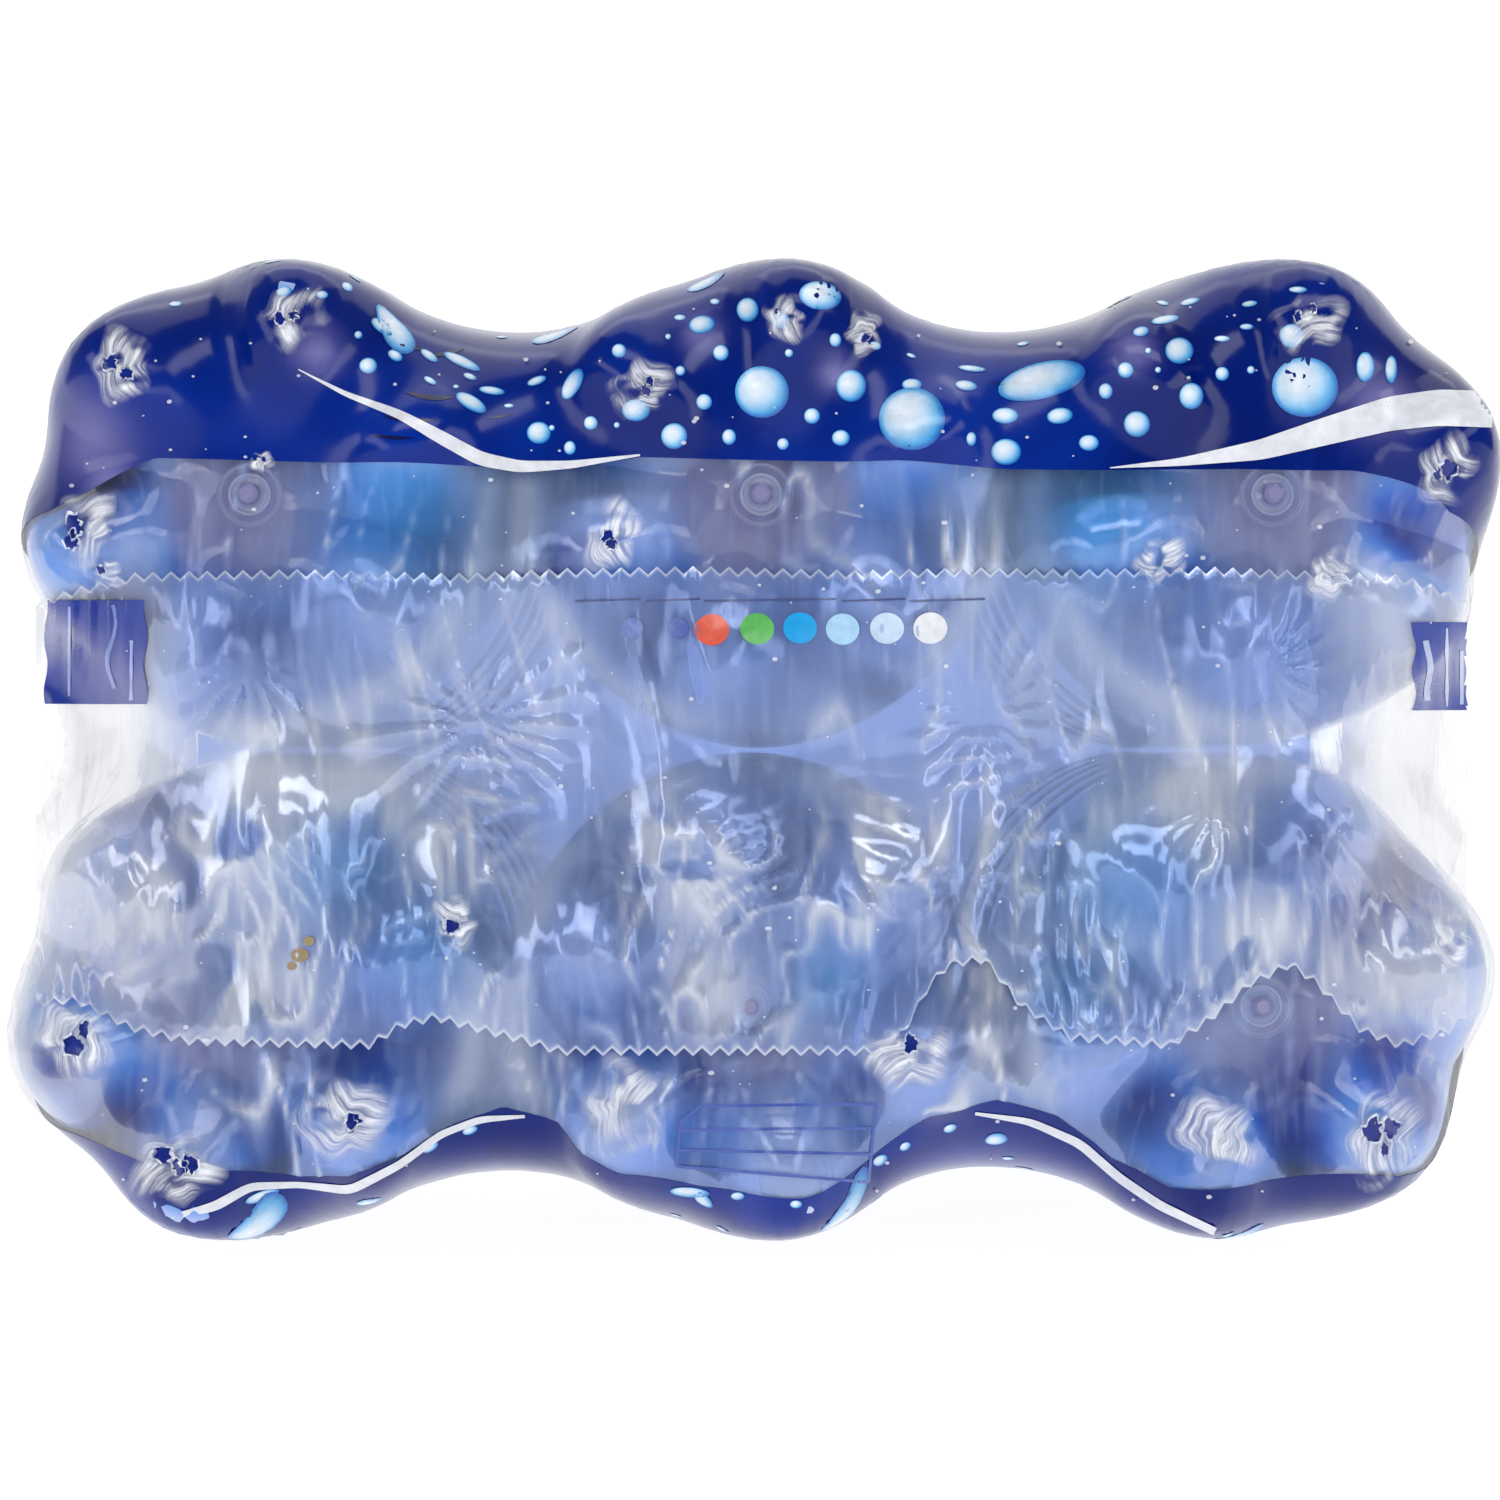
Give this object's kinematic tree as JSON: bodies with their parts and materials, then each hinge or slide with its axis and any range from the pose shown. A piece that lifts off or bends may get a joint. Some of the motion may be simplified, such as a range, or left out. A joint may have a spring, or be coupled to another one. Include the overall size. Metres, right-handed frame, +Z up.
{
  "type": "shrink-wrapped pack of water bottles",
  "caption": "pack of large clear plastic bottles of sparkling water in two rows of three, held together by printed shrink film, lying on its long side",
  "frame": {"origin": "middle of the footprint, at the height of the surface that the pack lies on", "axes": "+X along the three bottles of a row, +Y along the bottles from their bases to their caps, +Z up from the lower row to the upper"},
  "size_m": [0.2704, 0.327, 0.1802],
  "materials": {
    "film": "glossy clear film with a blue print",
    "bottle_plastic": "clear blue",
    "water": "clear",
    "cap_plastic": "satin"
  },
  "bodies": {
    "root": {"film": "film", "bottle_c1r1": "bottle_plastic", "bottle_c2r1": "bottle_plastic", "bottle_c3r1": "bottle_plastic", "bottle_c1r2": "bottle_plastic", "bottle_c2r2": "bottle_plastic", "bottle_c3r2": "bottle_plastic", "water_c1r1": "water", "water_c2r1": "water", "water_c3r1": "water", "water_c1r2": "water", "water_c2r2": "water", "water_c3r2": "water", "cap_c1r1": "cap_plastic", "cap_c2r1": "cap_plastic", "cap_c3r1": "cap_plastic", "cap_c1r2": "cap_plastic", "cap_c2r2": "cap_plastic", "cap_c3r2": "cap_plastic"}
  },
  "joints": []
}
